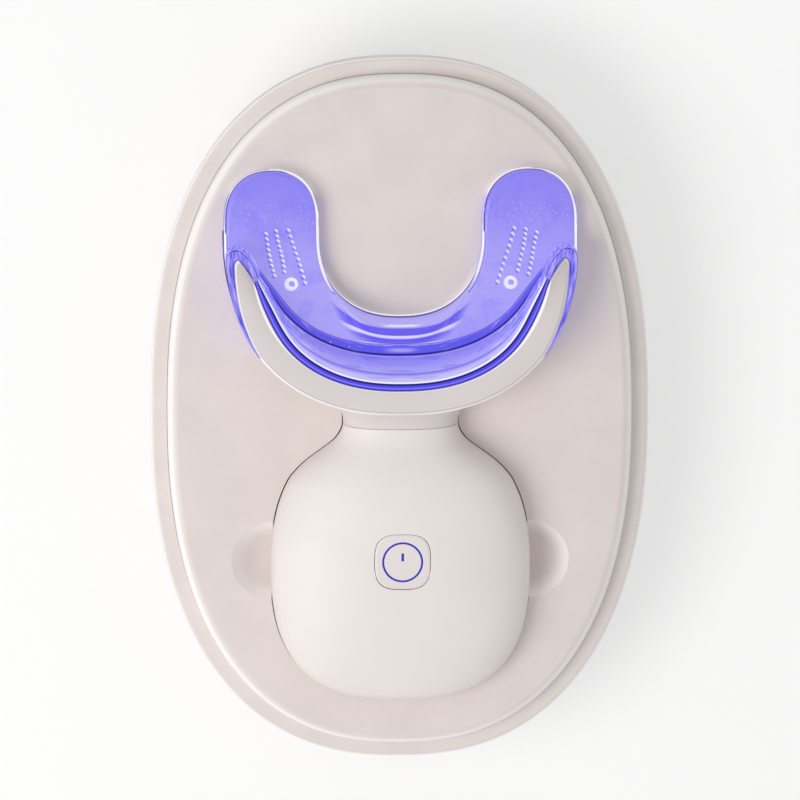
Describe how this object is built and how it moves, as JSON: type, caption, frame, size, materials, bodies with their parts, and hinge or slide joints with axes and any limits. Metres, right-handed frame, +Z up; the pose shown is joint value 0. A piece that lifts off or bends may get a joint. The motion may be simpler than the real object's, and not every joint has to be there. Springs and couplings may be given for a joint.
{
  "type": "led teeth whitening kit",
  "caption": "Hand-held light with a U-shaped silicone mouthpiece, lying in the form-fitting nest of its oval charging case, with a round power button on its pillow-shaped handle.",
  "frame": {"origin": "middle of the case's underside, on the surface that it lies on", "axes": "+Y along the case towards the mouthpiece, +Z up out of the open case, +X to the right"},
  "size_m": [0.0932, 0.134, 0.0371],
  "materials": {
    "case_plastic": "satin moulded",
    "tray_plastic": "fine matt moulded",
    "handle_plastic": "polished moulded",
    "head_plastic": "satin moulded",
    "lit_silicone": "translucent, lit from inside",
    "grey_silicone": "matt moulded",
    "white_silicone": "matt moulded",
    "circuit_board": "solder mask",
    "steel": "plated",
    "magnet": "nickel plated",
    "copper": "enamelled wire",
    "ferrite": "ground",
    "cell_foil": "laminated foil",
    "foam": "closed cell foam",
    "red_insulation": "smooth insulation",
    "black_insulation": "smooth insulation",
    "switch_black": "moulded",
    "clear_plastic": "clear moulded",
    "led_lens": "clear resin over the die",
    "power_light": "lit light guide"
  },
  "bodies": {
    "case": {"case_base_shell": "case_plastic", "case_tray": "tray_plastic", "non_slip_pad": "grey_silicone", "case_screw_1": "steel", "case_screw_2": "steel", "case_screw_3": "steel", "case_screw_4": "steel", "charging_board": "circuit_board", "usb_socket": "steel", "transmit_coil": "copper", "transmit_ferrite": "ferrite", "coil_lead_1": "copper", "coil_lead_2": "copper", "case_magnet": "magnet"},
    "device": {"handle_top_shell": "handle_plastic", "handle_bottom_shell": "handle_plastic", "handle_seal": "grey_silicone", "handle_screw_1": "steel", "handle_screw_2": "steel", "handle_screw_3": "steel", "handle_screw_4": "steel", "receive_coil": "copper", "receive_ferrite": "ferrite", "battery_cell": "cell_foil", "battery_pad": "foam", "main_board": "circuit_board", "battery_lead_red": "red_insulation", "battery_lead_black": "black_insulation", "device_magnet": "magnet", "switch_body": "switch_black", "button_seal": "white_silicone", "head_housing": "head_plastic", "neck_seal": "grey_silicone", "led_window": "clear_plastic", "led_strip": "circuit_board", "led_1": "led_lens", "led_2": "led_lens", "led_3": "led_lens", "led_4": "led_lens", "led_5": "led_lens", "led_6": "led_lens", "led_7": "led_lens", "led_8": "led_lens", "led_9": "led_lens", "led_10": "led_lens", "led_11": "led_lens", "led_12": "led_lens", "mouthpiece": "lit_silicone"},
    "button": {"button_cap": "handle_plastic", "power_ring": "power_light", "power_bar": "power_light", "switch_plunger": "switch_black"}
  },
  "joints": [
    {"name": "device_lift", "type": "slide", "parent": "case", "child": "device", "axis": [0, 0, 1], "range_m": [0, 0.06]},
    {"name": "button_press", "type": "slide", "parent": "device", "child": "button", "axis": [0, 0, -1], "range_m": [0, 0.0005], "stiffness_N_per_m": 1000}
  ]
}
